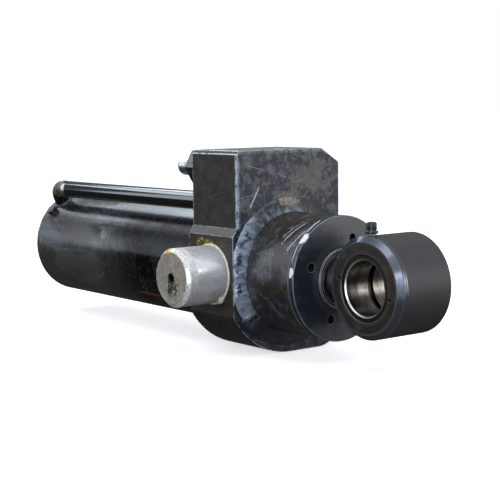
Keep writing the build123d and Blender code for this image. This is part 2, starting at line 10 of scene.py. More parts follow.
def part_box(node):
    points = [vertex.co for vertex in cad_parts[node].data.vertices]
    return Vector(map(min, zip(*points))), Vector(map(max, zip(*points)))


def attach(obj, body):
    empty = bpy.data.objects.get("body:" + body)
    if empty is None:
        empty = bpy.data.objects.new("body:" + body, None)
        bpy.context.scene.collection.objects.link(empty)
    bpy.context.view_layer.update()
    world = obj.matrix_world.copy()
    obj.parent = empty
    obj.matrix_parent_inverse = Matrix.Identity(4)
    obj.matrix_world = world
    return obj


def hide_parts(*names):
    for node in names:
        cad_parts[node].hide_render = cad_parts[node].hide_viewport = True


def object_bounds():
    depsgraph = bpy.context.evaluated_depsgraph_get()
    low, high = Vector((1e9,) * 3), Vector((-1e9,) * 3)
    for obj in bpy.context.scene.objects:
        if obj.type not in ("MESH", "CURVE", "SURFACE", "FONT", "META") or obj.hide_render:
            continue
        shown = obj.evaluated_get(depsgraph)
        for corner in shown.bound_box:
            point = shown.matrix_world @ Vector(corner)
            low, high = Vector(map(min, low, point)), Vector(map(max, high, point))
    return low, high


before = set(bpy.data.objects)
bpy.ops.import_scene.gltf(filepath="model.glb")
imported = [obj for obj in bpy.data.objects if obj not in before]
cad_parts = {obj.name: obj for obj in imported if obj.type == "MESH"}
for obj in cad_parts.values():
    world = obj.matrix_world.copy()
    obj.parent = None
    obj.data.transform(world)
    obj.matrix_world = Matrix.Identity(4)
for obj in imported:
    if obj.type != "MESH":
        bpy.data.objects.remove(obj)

# Telescopic hydraulic cylinder: painted steel, bare trunnion pins and heavy fillet welds, on a pale floor.
# Metres, in the frame of the CAD: +X forward to the rod eye, Y along the trunnion pins, +Z up.

scene = bpy.context.scene
cad_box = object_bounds()
MM = 0.001
WHITE = (1.0, 1.0, 1.0, 1.0)
random.seed(7)


# ---------------------------------------------------------------- places taken from the frame

block_low, block_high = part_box("trunnion_block")
pin_low, pin_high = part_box("trunnion_pin_left")
ring_low, ring_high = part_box("retainer_ring_left")
pipe_low, pipe_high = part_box("pressure_pipe")
cap_low, cap_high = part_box("nipple_cap")
cap_weld_low, cap_weld_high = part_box("rear_cap_weld")
pipe_mid = (pipe_low + pipe_high) / 2
cap_mid = (cap_low + cap_high) / 2

tube_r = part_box("barrel_tube")[1].z
head_r = tube_r - 1.5 * MM    # the barrel is turned down in front of the block
block_rear = block_low.x
block_front = block_high.x
lower_half_width = block_high.y
block_left = -91.0 * MM       # the upper part of the block is narrower than its box
pin_r = pin_high.z
pin_end = -pin_low.y
disc_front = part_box("stage_head")[1].x
eye_x = ((ring_low + ring_high) / 2).x
eye_half_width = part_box("rod_eye")[1].y
pipe_r = (pipe_high.z - pipe_low.z) / 2
pipe_y = pipe_mid.y
pipe_z = pipe_mid.z
elbow_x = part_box("pipe_elbow")[0].x + pipe_r
cap_weld_r = cap_weld_high.z


# ---------------------------------------------------------------- material building

class Patterns:
    """The shader nodes of one tree, and the patterns that they make."""

    def __init__(self, tree, coordinates):
        self.tree = tree
        self.place = self.node("ShaderNodeTexCoord").outputs[coordinates]
        self.x, self.y, self.z = self.split(self.place)

    def node(self, kind, inputs=None, **settings):
        """A new node with these settings, and with numbers or sockets fed to its inputs."""
        made = self.tree.nodes.new(kind)
        for key, value in settings.items():
            setattr(made, key, value)
        for key, value in (inputs or {}).items():
            self.feed(made.inputs[key], value)
        return made

    def feed(self, socket, value):
        """Links value to the socket when it is another socket, and otherwise sets it."""
        if isinstance(value, bpy.types.NodeSocket):
            self.tree.links.new(value, socket)
        elif isinstance(value, tuple) and len(value) == 3 and socket.type == "RGBA":
            socket.default_value = (*value, 1.0)
        else:
            socket.default_value = value

    def split(self, vector):
        return self.node("ShaderNodeSeparateXYZ", {0: vector}).outputs

    def math(self, operation, a, b=0.0, clamp=False):
        return self.node("ShaderNodeMath", {0: a, 1: b}, operation=operation, use_clamp=clamp).outputs[0]

    def both(self, *masks):
        """Where every mask is set."""
        return reduce(lambda a, b: self.math("MULTIPLY", a, b), masks)

    def either(self, *masks):
        """Where any mask is set."""
        return reduce(lambda a, b: self.math("MAXIMUM", a, b), masks)

    def step(self, value, start, end):
        """0 before start and 1 after end, with a smooth rise between; start may be above end."""
        low, high = (0.0, 1.0) if start < end else (1.0, 0.0)
        inputs = {"Value": value, "From Min": min(start, end), "From Max": max(start, end)}
        inputs |= {"To Min": low, "To Max": high}
        made = self.node("ShaderNodeMapRange", inputs, interpolation_type="SMOOTHSTEP", clamp=True)
        return made.outputs["Result"]

    def span(self, value, start, end, soft):
        """1 between start and end, with soft borders."""
        return self.both(
            self.step(value, start - soft, start + soft), self.step(value, end + soft, end - soft)
        )

    def grain(self, size, detail=4.0, rough=0.6, warp=0.0, stretch=(1, 1, 1), shift=0.0):
        """Noise whose patches are about size metres across, longer by stretch along each axis."""
        scale = [1 / (size * s) for s in stretch]
        location = (shift, shift * 0.7, shift * 1.3)
        scaled = self.node("ShaderNodeMapping", {"Vector": self.place, "Scale": scale, "Location": location})
        inputs = {"Vector": scaled.outputs[0], "Scale": 1.0}
        inputs |= {"Detail": detail, "Roughness": rough, "Distortion": warp}
        return self.node("ShaderNodeTexNoise", inputs).outputs["Fac"]

    def lines(self, along, pitch, detail=2.0):
        """Fine parallel marks across a value in metres, such as the lines left by a lathe."""
        inputs = {"W": self.math("DIVIDE", along, pitch), "Scale": 1.0, "Detail": detail}
        return self.node("ShaderNodeTexNoise", inputs, noise_dimensions="1D").outputs["Fac"]

    def scratches(self, size, thin=0.02, turn=0.6, shift=0.0):
        """Thin hairlines: the borders of long slanted cells."""
        inputs = {"Vector": self.place, "Rotation": (turn, turn * 1.7, turn * 0.4)}
        inputs |= {"Location": (shift, shift, shift), "Scale": (1 / size, 0.35 / size, 0.8 / size)}
        turned = self.node("ShaderNodeMapping", inputs).outputs[0]
        inputs = {"Vector": turned, "Scale": 1.0}
        cells = self.node("ShaderNodeTexVoronoi", inputs, feature="DISTANCE_TO_EDGE")
        hairs = self.step(cells.outputs["Distance"], thin, 0.0)
        return self.both(hairs, self.step(self.grain(size * 0.7, 3, shift=shift + 3), 0.54, 0.62))

    def radius(self, a, b):
        """Distance from an axis, from the two coordinates across it."""
        squares = self.math("ADD", self.math("MULTIPLY", a, a), self.math("MULTIPLY", b, b))
        return self.math("SQRT", squares)

    def spot(self, centre, radius, ragged=0.5, size=None, stretch=(1, 1, 1)):
        """A ragged patch about a point of the object."""
        reach = [radius * s for s in stretch]
        offset = self.node("ShaderNodeVectorMath", {0: self.place, 1: centre}, operation="SUBTRACT")
        scaled = self.node("ShaderNodeVectorMath", {0: offset.outputs[0], 1: reach}, operation="DIVIDE")
        length = self.node("ShaderNodeVectorMath", {0: scaled.outputs[0]}, operation="LENGTH")
        torn = self.math("MULTIPLY", self.grain(size or radius * 0.5, 5, 0.7), 2 * ragged)
        return self.step(self.math("ADD", length.outputs["Value"], torn), 1.05 + ragged, 0.85 + ragged)

    def facing(self, axis, start=0.6, end=0.9):
        """1 where the surface faces along an axis of the object, such as "-Y"."""
        normal = self.node("ShaderNodeTexCoord").outputs["Normal"]
        part = self.split(normal)["XYZ".index(axis[-1])]
        if axis[0] == "-":
            part = self.math("MULTIPLY", part, -1.0)
        return self.step(part, start, end)

    def edges(self, width, start=0.004, end=0.05):
        """1 on the object's convex and concave edges, from the shader's rounded normal."""
        rounded = self.node("ShaderNodeBevel", {"Radius": width}, samples=6).outputs[0]
        true = self.node("ShaderNodeNewGeometry").outputs["Normal"]
        match = self.node("ShaderNodeVectorMath", {0: rounded, 1: true}, operation="DOT_PRODUCT")
        return self.step(self.math("SUBTRACT", 1.0, match.outputs["Value"]), start, end)

    def mix(self, mask, low, high):
        """Colour low where the mask is 0, and high where it is 1."""
        return self.node("ShaderNodeMix", {"Factor": mask, 6: low, 7: high}, data_type="RGBA").outputs[2]

    def layers(self, base, *coats):
        """A colour with (mask, colour) coats laid over it in turn."""
        for mask, colour in coats:
            base = self.mix(mask, base, colour)
        return base

    def levels(self, value, low, high):
        """A 0 to 1 pattern spread between two numbers."""
        inputs = {"Value": value, "To Min": low, "To Max": high}
        return self.node("ShaderNodeMapRange", inputs).outputs["Result"]

    def over(self, base, *coats):
        """A number with (mask, number) coats laid over it in turn."""
        for mask, number in coats:
            inputs = {"Factor": mask, 2: base, 3: number}
            base = self.node("ShaderNodeMix", inputs, data_type="FLOAT").outputs[0]
        return base


class Finish(Patterns):
    """A procedural material: one Principled shader and the patterns that drive it."""

    def __init__(self, name, metallic=0.0):
        self.material = bpy.data.materials.new(name)
        self.material.use_nodes = True
        super().__init__(self.material.node_tree, "Object")
        self.shader = self.tree.nodes["Principled BSDF"]
        self.shader.inputs["Metallic"].default_value = metallic

    def surface(self, colour, roughness, metallic=None, specular=None):
        """Feeds the shader; metallic and specular may be left out."""
        values = {"Base Color": colour, "Roughness": roughness, "Metallic": metallic}
        values["Specular IOR Level"] = specular
        for name, value in values.items():
            if value is not None:
                self.feed(self.shader.inputs[name], value)

    def two_tone(self, pattern, borders, colours, roughness):
        """The second colour where the pattern is past its borders, and a roughness that follows it."""
        colour = self.layers(colours[0], (self.step(pattern, *borders), colours[1]))
        self.surface(colour, self.levels(pattern, *roughness))

    def relief(self, *heights):
        """Bump from (pattern, depth in metres) pairs, on normals rounded at the edges."""
        normal = self.node("ShaderNodeBevel", {"Radius": 0.5 * MM}, samples=4).outputs[0]
        for pattern, depth in heights:
            inputs = {"Strength": 1.0, "Distance": depth, "Height": pattern, "Normal": normal}
            normal = self.node("ShaderNodeBump", inputs).outputs[0]
        self.feed(self.shader.inputs["Normal"], normal)
        return self.material


# ---------------------------------------------------------------- finishes

RUST = (0.115, 0.045, 0.014)
YELLOW = (0.62, 0.42, 0.015)
CREAM = (0.66, 0.62, 0.50)


def barrel_finish():
    """Gloss black tube, scuffed and dusty, with a duller turned head in front of the block."""
    f = Finish("barrel_black")
    cloud = f.grain(60 * MM, 5, 0.62, stretch=(1.6, 1, 1))
    fine = f.grain(6 * MM, 6, 0.72)
    grit = f.grain(1.8 * MM, 4, 0.7, shift=1.0)
    head = f.step(f.x, block_front + 1 * MM, block_front + 3 * MM)
    turned = f.lines(f.x, 1.1 * MM)
    round_axis = f.math("MULTIPLY", f.math("ARCTAN2", f.z, f.y), tube_r)
    rearward = f.step(f.x, -0.17, -0.40)
    smears = f.grain(24 * MM, 6, 0.72, warp=0.7, stretch=(0.6, 1, 1), shift=4.0)
    # Pale blue-grey patches on the tube: partly an oily coat, partly a painted sheen that stands in for the
    # band of reflected light.
    film_and_sheen = f.step(f.grain(70 * MM, 6, 0.66, warp=0.8, stretch=(2.2, 1, 1), shift=13.0), 0.43, 0.53)
    # Painted shade: the tube is darker behind the block, below 60 mm up, and the pale patches are kept off
    # it.
    block_shade = f.both(
        f.step(f.math("ADD", f.x, f.levels(smears, -0.05, 0.05)), -0.36, -0.22), f.step(f.z, 0.068, 0.060)
    )
    film_and_sheen = f.both(film_and_sheen, f.math("SUBTRACT", 1.0, block_shade))
    streaks = f.grain(15 * MM, 6, 0.72, stretch=(7, 1, 1), shift=2.0)
    dust = f.both(f.step(cloud, 0.40, 0.62), f.levels(fine, 0.2, 0.9))
    grime = f.both(f.step(streaks, 0.47, 0.62), f.levels(fine, 0.2, 1.0))
    hairs = f.either(f.scratches(70 * MM, 0.008), f.scratches(110 * MM, 0.005, turn=1.3, shift=2.0))
    specks = f.step(grit, 0.69, 0.73)
    seam_x = f.math("ADD", f.x, f.math("MULTIPLY", round_axis, 0.10))
    scribed = f.both(f.span(seam_x, 0.0405, 0.0415, 0.3 * MM), f.step(fine, 0.36, 0.46))
    blots = f.step(f.grain(13 * MM, 6, 0.75, shift=17.0), 0.60, 0.66)
    blots = f.both(blots, f.step(f.z, 0.035, 0.050), rearward)
    low = f.both(f.step(f.z, 0.010, -0.035), f.step(f.z, -0.088, -0.078), f.step(f.x, -0.18, -0.24))
    rub_marks = f.both(
        f.spot((-0.3136, -0.0786, 0.0297), 8 * MM, 0.9, 4 * MM, stretch=(1.2, 1, 1)),
        f.step(fine, 0.40, 0.58),
    )
    smudge = f.both(
        f.span(f.x, -0.213, -0.168, 1.5 * MM),
        f.span(f.z, -0.026, 0.022, 1.5 * MM),
        f.step(f.grain(11 * MM, 5, 0.7, shift=8.0), 0.38, 0.50),
    )
    rust = f.spot((-0.205, -0.0652, -0.0530), 5 * MM, 0.5, 5 * MM, stretch=(7, 1, 0.55))
    spray = f.either(
        f.spot((-0.519, -0.079, 0.030), 6 * MM, 0.6, stretch=(0.4, 1, 1.4)),
        f.both(f.spot((-0.506, -0.083, 0.010), 6 * MM, 0.8, stretch=(0.6, 1, 1.4)), f.step(fine, 0.5, 0.6)),
    )
    rim = f.both(f.edges(1.2 * MM), f.levels(fine, 0.2, 1.0))
    tube = f.layers(
        (0.0130, 0.0120, 0.0120),
        (grime, (0.048, 0.040, 0.032)),
        (dust, (0.050, 0.046, 0.042)),
        (film_and_sheen, (0.060, 0.062, 0.070)),
        (f.both(film_and_sheen, f.step(streaks, 0.50, 0.60)), (0.098, 0.101, 0.110)),
        (f.both(low, f.levels(fine, 0.4, 1.0)), (0.066, 0.055, 0.044)),
        (block_shade, f.layers((0.0085, 0.0082, 0.0082), (f.step(fine, 0.50, 0.62), (0.030, 0.028, 0.026)))),
        (blots, (0.004, 0.004, 0.004)),
        (smudge, (0.0035, 0.0035, 0.0035)),
        (f.either(rub_marks, f.both(specks, f.step(cloud, 0.5, 0.6))), (0.20, 0.205, 0.22)),
        (hairs, (0.12, 0.125, 0.14)),
        (scribed, (0.003, 0.003, 0.003)),
        (rust, RUST),
        (spray, (0.42, 0.36, 0.10)),
    )
    worn = f.both(f.step(smears, 0.47, 0.60), f.levels(turned, 0.3, 1.0))
    grimy = f.step(f.grain(38 * MM, 6, 0.72, shift=9.0), 0.48, 0.58)
    pale = f.both(
        f.spot((0.093, -0.078, 0.020), 22 * MM, 1.2, 15 * MM, stretch=(0.9, 0.9, 1.1)),
        f.step(fine, 0.38, 0.58),
    )
    scuffs = f.both(
        f.spot((0.128, -0.0560, 0.0610), 22 * MM, 1.0, 8 * MM, stretch=(0.8, 1.2, 1)),
        f.step(f.lines(f.math("ADD", f.x, f.math("MULTIPLY", round_axis, 0.35)), 2.6 * MM, 1), 0.56, 0.64),
        f.step(fine, 0.38, 0.50),
    )
    marks = f.both(
        f.spot((0.112, -0.0600, 0.0570), 15 * MM, 0.8, 6 * MM),
        f.step(f.grain(7 * MM, 4, 0.7, warp=1.5), 0.56, 0.60),
    )
    front = f.layers(
        (0.016, 0.018, 0.022),
        (worn, (0.100, 0.100, 0.103)),
        (grimy, (0.026, 0.019, 0.013)),
        (f.both(grimy, f.step(fine, 0.55, 0.65)), (0.070, 0.052, 0.036)),
        (pale, (0.085, 0.083, 0.082)),
        (marks, (0.004, 0.004, 0.004)),
        (scuffs, (0.42, 0.44, 0.48)),
        (f.either(hairs, specks), (0.20, 0.20, 0.21)),
    )
    gloss = f.over(f.levels(cloud, 0.12, 0.26), (film_and_sheen, 0.27), (dust, 0.36), (smudge, 0.12))
    f.surface(
        f.mix(rim, f.mix(head, tube, front), (0.16, 0.17, 0.19)),
        f.over(gloss, (head, f.levels(smears, 0.20, 0.52))),
        specular=f.over(0.5, (block_shade, 0.06), (smudge, 0.04), (head, 0.5)),
    )
    return f.relief((fine, 0.06 * MM), (turned, 0.012 * MM), (cloud, 0.25 * MM), (scribed, -0.1 * MM))


def block_finish():
    """Black block: mottled and scuffed in front, brown with grime at the sides, bare at the edges, with
    painted highlights on its chamfers and painted light on its upward faces.
    """
    f = Finish("block_black")
    speckle = f.grain(2.6 * MM, 6, 0.78)
    mottle = f.grain(13 * MM, 6, 0.74, warp=0.4)
    cloud = f.grain(48 * MM, 6, 0.70, warp=0.5, shift=6.0)
    front = f.facing("+X", 0.8, 0.95)
    side = f.either(f.facing("-Y"), f.facing("+Y"))
    upward = f.facing("+Z", 0.3, 0.8)
    edge = f.edges(2.2 * MM)
    scuffed = f.both(f.step(mottle, 0.47, 0.60), f.step(speckle, 0.42, 0.58))
    dusty = f.both(f.step(cloud, 0.52, 0.58), f.step(speckle, 0.34, 0.58))
    dust_patch = f.both(
        f.spot((block_front, 0.042, 0.126), 30 * MM, 1.9, 19 * MM, stretch=(1, 1.3, 0.7)),
        f.step(speckle, 0.34, 0.54),
    )
    rusty = f.both(
        f.spot((block_front, -0.002, 0.104), 17 * MM, 1.3, 7 * MM, stretch=(1, 1.5, 0.35)),
        f.step(speckle, 0.36, 0.54),
    )
    hairs = f.either(f.scratches(38 * MM, 0.010, turn=0.9), f.scratches(55 * MM, 0.006, turn=2.2, shift=5.0))
    gouge = f.spot((block_front, -0.0606, 0.105), 21 * MM, 0.25, 3 * MM, stretch=(1, 0.5, 1))
    across_gouge = f.math("ADD", f.math("MULTIPLY", f.y, 0.869), f.math("MULTIPLY", f.z, -0.495))
    gouge = f.both(gouge, f.span(across_gouge, -0.1058, -0.1036, 0.5 * MM), f.step(speckle, 0.36, 0.50))
    from_left = f.math("ADD", f.y, -block_left)
    from_top = f.math("SUBTRACT", block_high.z, f.z)
    border = f.either(f.step(from_left, 7 * MM, 4.5 * MM), f.step(from_top, 6 * MM, 3 * MM))
    border = f.both(border, f.step(f.z, 0.060, 0.066), f.step(mottle, 0.36, 0.52))
    grime = f.step(f.grain(20 * MM, 6, 0.72, shift=2.0), 0.44, 0.58)
    paint = f.both(
        f.spot((-0.013, -lower_half_width, 0.0420), 20 * MM, 1.3, 6 * MM, stretch=(1, 1, 0.36)),
        f.step(f.grain(3.6 * MM, 6, 0.85, shift=3.0), 0.52, 0.55),
    )
    specks = f.both(
        f.spot((0.030, -lower_half_width, 0.020), 22 * MM, 0.9, 5 * MM, stretch=(0.5, 1, 1.6)),
        f.step(speckle, 0.60, 0.65),
    )
    # Painted highlight: thin near-white lines along the edges of the top chamfer on the -Y side.
    chamfer_highlight = f.both(
        f.either(f.span(from_top, 4.1 * MM, 5.0 * MM, 0.2 * MM), f.step(from_top, 0.9 * MM, 0.5 * MM)),
        f.facing("-Y", 0.3, 0.6), f.step(mottle, 0.42, 0.48),
    )
    edge = f.both(edge, f.either(f.step(f.z, -0.045, -0.035), f.step(f.z, -0.09, -0.10), front))
    corner_flat = f.both(f.facing("-Y", 0.3, 0.5), f.facing("+Z", 0.3, 0.5), f.step(f.z, 0.10, 0.12))
    edge = f.math("SUBTRACT", edge, corner_flat, clamp=True)
    # Upward faces are painted lighter: partly dust, partly painted light from above.
    dust_and_top_light = f.math("SUBTRACT", upward, corner_flat, clamp=True)
    # Painted highlight: a thin blue-white line down the vertical chamfer at the front-left corner.
    upright_highlight = f.both(
        f.facing("-Y", 0.45, 0.6), f.facing("+X", 0.45, 0.6), f.step(from_left, 0.4 * MM, 0.7 * MM),
        f.step(from_left, 1.9 * MM, 1.5 * MM), f.step(mottle, 0.40, 0.46),
    )
    colour = f.layers(
        (0.0170, 0.0205, 0.0290),
        (f.both(front, scuffed), (0.050, 0.055, 0.067)),
        (f.both(front, dusty), (0.048, 0.045, 0.042)),
        (f.both(front, dust_patch), (0.128, 0.121, 0.111)),
        (f.both(front, rusty), (0.150, 0.140, 0.124)),
        (f.both(front, f.step(f.z, -0.060, -0.085)), (0.010, 0.0125, 0.018)),
        (f.both(front, border), (0.105, 0.118, 0.145)),
        (f.both(front, f.either(hairs, f.step(speckle, 0.68, 0.72))), (0.20, 0.21, 0.23)),
        (f.both(front, gouge), (0.40, 0.41, 0.42)),
        (side, (0.0100, 0.0078, 0.0052)),
        (f.both(side, grime), (0.030, 0.021, 0.012)),
        (f.both(side, f.either(hairs, f.step(speckle, 0.66, 0.71))), (0.085, 0.073, 0.055)),
        (f.both(dust_and_top_light, f.levels(speckle, 0.35, 1.1)), (0.190, 0.178, 0.152)),
        (f.both(side, f.either(paint, specks)), YELLOW),
        (f.both(edge, f.step(f.grain(9 * MM, 4, 0.7, shift=1.0), 0.40, 0.50)), (0.42, 0.46, 0.52)),
        (upright_highlight, (0.30, 0.38, 0.50)),
        (chamfer_highlight, (0.80, 0.80, 0.80)),
    )
    roughness = f.over(
        f.levels(mottle, 0.24, 0.50),
        (f.both(front, f.either(dust_patch, rusty)), 0.78),
        (side, f.levels(mottle, 0.45, 0.75)),
        (upward, 0.62),
        (edge, 0.30),
        (upright_highlight, 0.24),
    )
    flat_sheen = f.both(front, f.step(mottle, 0.62, 0.44))
    f.surface(colour, roughness, specular=f.over(0.5, (flat_sheen, 0.16)))
    return f.relief((speckle, 0.16 * MM), (mottle, 0.60 * MM), (hairs, -0.06 * MM), (gouge, -0.15 * MM))


def pipe_finish():
    """Fresh gloss black on drawn pipe, with dust and a few knocks."""
    f = Finish("pipe_black")
    fine = f.grain(5 * MM, 5, 0.65)
    drawn = f.grain(9 * MM, 4, 0.6, stretch=(9, 1, 1))
    knocks = f.step(f.grain(6 * MM, 5, 0.75, stretch=(2.5, 1, 1), shift=8.0), 0.69, 0.73)
    scale_end = -0.444
    scale = f.both(
        f.spot((-0.470, pipe_y - 0.008, pipe_z), 22 * MM, 1.0, 7 * MM, stretch=(1.3, 1, 0.55)),
        f.step(f.x, scale_end, scale_end - 2 * MM),
    )
    flake = f.both(
        f.spot((-0.451, pipe_y - 0.012, pipe_z + 0.004), 6 * MM, 0.8, 3 * MM),
        f.step(f.x, scale_end, scale_end - 1 * MM),
    )
    colour = f.layers(
        (0.0070, 0.0072, 0.0085),
        (f.step(drawn, 0.5, 0.75), (0.020, 0.018, 0.015)),
        (knocks, (0.22, 0.22, 0.22)),
        (f.both(scale, f.levels(fine, 0.4, 1.1)), (0.150, 0.122, 0.088)),
        (flake, (0.72, 0.72, 0.70)),
    )
    f.surface(colour, f.over(f.levels(drawn, 0.05, 0.17), (scale, 0.55), (knocks, 0.5)))
    return f.relief((drawn, 0.06 * MM), (fine, 0.02 * MM))


def disc_finish():
    """Blue-black satin on the turned stage head, with bare metal where its rim was knocked."""
    f = Finish("disc_blue_black")
    from_axis = f.radius(f.y, f.z)
    facing = f.facing("+X")
    turned = f.lines(f.math("ADD", from_axis, f.x), 0.7 * MM)
    mottle = f.grain(14 * MM, 6, 0.7, shift=3.0)
    speckle = f.grain(2.4 * MM, 6, 0.75, shift=6.0)
    speck = f.step(f.grain(1.9 * MM, 5, 0.7), 0.66, 0.72)
    ring = f.both(facing, f.span(from_axis, 43 * MM, 51 * MM, 1.0 * MM))
    chips = f.either(
        f.spot((0.151, -0.0610, 0.0575), 9.0 * MM, 0.9, 3 * MM, stretch=(0.9, 1, 1)),
        f.spot((0.151, -0.0827, 0.0145), 6.0 * MM, 0.8, 3 * MM, stretch=(0.9, 1, 1.1)),
        f.spot((0.1485, -0.0740, 0.0400), 15 * MM, 0.6, 3 * MM, stretch=(0.09, 1, 1)),
        f.spot((0.1490, -0.0430, 0.0720), 15 * MM, 0.9, 3 * MM, stretch=(0.12, 1, 1)),
    )
    chips = f.both(chips, f.step(from_axis, 80.5 * MM, 83.0 * MM), f.step(speckle, 0.34, 0.42))
    rim = f.both(f.edges(1.0 * MM), f.step(f.grain(8 * MM, 4, 0.7), 0.34, 0.48))
    # Painted shade: near-black where the face is set back behind the front, 48 to 64 mm from the axis.
    recess_shade = f.both(
        f.step(f.x, disc_front - 0.3 * MM, disc_front - 1.0 * MM),
        f.span(from_axis, 48 * MM, 64 * MM, 1.0 * MM),
    )
    wear = f.both(f.step(mottle, 0.50, 0.68), f.levels(turned, 0.4, 1.0))
    colour = f.layers(
        (0.0125, 0.0160, 0.0225),
        (wear, (0.036, 0.041, 0.051)),
        (f.both(ring, f.levels(turned, 0.2, 1.0)), (0.035, 0.038, 0.042)),
        (speck, (0.075, 0.078, 0.085)),
        (rim, (0.30, 0.34, 0.40)),
        (recess_shade, (0.0035, 0.0028, 0.0022)),
        (chips, (0.82, 0.84, 0.86)),
    )
    f.surface(colour, f.over(f.levels(mottle, 0.24, 0.42), (chips, 0.34)))
    return f.relief((turned, 0.020 * MM), (mottle, 0.06 * MM), (chips, -0.15 * MM))


def eye_finish():
    """Satin dark grey on the rod eye, with lathe lines beside the bevel."""
    f = Finish("eye_satin")
    mottle = f.grain(20 * MM, 5, 0.65, shift=1.5)
    fine = f.grain(2.2 * MM, 5, 0.7)
    from_face = f.math("SUBTRACT", eye_half_width, f.math("ABSOLUTE", f.y))
    beside = f.both(
        f.span(from_face, 7 * MM, 13.5 * MM, 0.8 * MM), f.step(f.lines(f.y, 1.5 * MM, 0), 0.50, 0.62)
    )
    left_half = f.step(f.y, 0.0, -0.001)
    beside = f.both(beside, left_half)
    bevel = f.both(f.span(from_face, 0.3 * MM, 6.8 * MM, 0.3 * MM), left_half)
    edge = f.edges(1.0 * MM)
    neck = f.step(f.x, eye_x - 58 * MM, eye_x - 66 * MM)
    colour = f.layers(
        (0.0220, 0.0220, 0.0226),
        (f.step(mottle, 0.42, 0.70), (0.0290, 0.0286, 0.0282)),
        (bevel, (0.150, 0.165, 0.200)),
        (f.both(beside, f.levels(fine, 0.4, 1.0)), (0.150, 0.160, 0.180)),
        (neck, (0.011, 0.0105, 0.010)),
        (f.both(edge, f.levels(fine, 0.2, 1.0)), (0.16, 0.17, 0.19)),
    )
    f.surface(
        colour,
        f.over(f.levels(mottle, 0.52, 0.62), (bevel, 0.17), (beside, 0.24), (neck, 0.22)),
        metallic=f.both(f.either(bevel, beside), 0.9),
        specular=f.over(0.42, (neck, 0.7)),
    )
    return f.relief((fine, 0.03 * MM), (f.lines(f.y, 0.8 * MM), 0.012 * MM))


def retainer_finish():
    """Blued retaining ring, brown with oil."""
    f = Finish("retainer_blued")
    from_axis = f.radius(f.math("SUBTRACT", f.x, eye_x), f.z)
    turned = f.lines(from_axis, 0.6 * MM)
    oily = f.grain(13 * MM, 5, 0.65, shift=7.0)
    edge = f.edges(0.9 * MM)
    band = f.both(f.span(from_axis, 44 * MM, 47 * MM, 0.7 * MM), f.levels(turned, 0.3, 1.0))
    colour = f.layers(
        (0.0200, 0.0160, 0.0130),
        (f.step(oily, 0.46, 0.66), (0.046, 0.034, 0.024)),
        (band, (0.042, 0.040, 0.038)),
        (f.both(edge, f.levels(turned, 0.2, 1.0)), (0.20, 0.20, 0.205)),
    )
    f.surface(colour, f.over(f.levels(oily, 0.22, 0.42), (edge, 0.25)))
    return f.relief((turned, 0.02 * MM), (oily, 0.05 * MM))


def bearing_finish():
    """Ground bearing steel, browned by old grease."""
    f = Finish("bearing_ground", metallic=1.0)
    ground = f.lines(f.y, 0.5 * MM)
    grease = f.grain(30 * MM, 5, 0.6, stretch=(1, 0.5, 1))
    from_bore = f.radius(f.math("SUBTRACT", f.x, eye_x), f.z)
    outward = f.math("ABSOLUTE", f.y)
    end = f.step(outward, 41.3 * MM, 41.6 * MM)
    colour = f.layers(
        (0.150, 0.144, 0.134),
        (f.step(grease, 0.40, 0.62), (0.080, 0.066, 0.050)),
        # Painted shade: a near-black band across the middle of the bore.
        (f.step(outward, 4.9 * MM, 4.4 * MM), (0.012, 0.010, 0.008)),
        (f.span(outward, 23.9 * MM, 25.1 * MM, 0.2 * MM), (0.03, 0.026, 0.02)),
        (f.both(end, f.span(from_bore, 35 * MM, 37 * MM, 0.3 * MM)), (0.75, 0.74, 0.72)),
        (f.both(end, f.step(from_bore, 37.2 * MM, 37.6 * MM)), (0.100, 0.085, 0.072)),
    )
    f.surface(colour, f.levels(grease, 0.24, 0.34))
    return f.relief((ground, 0.006 * MM))


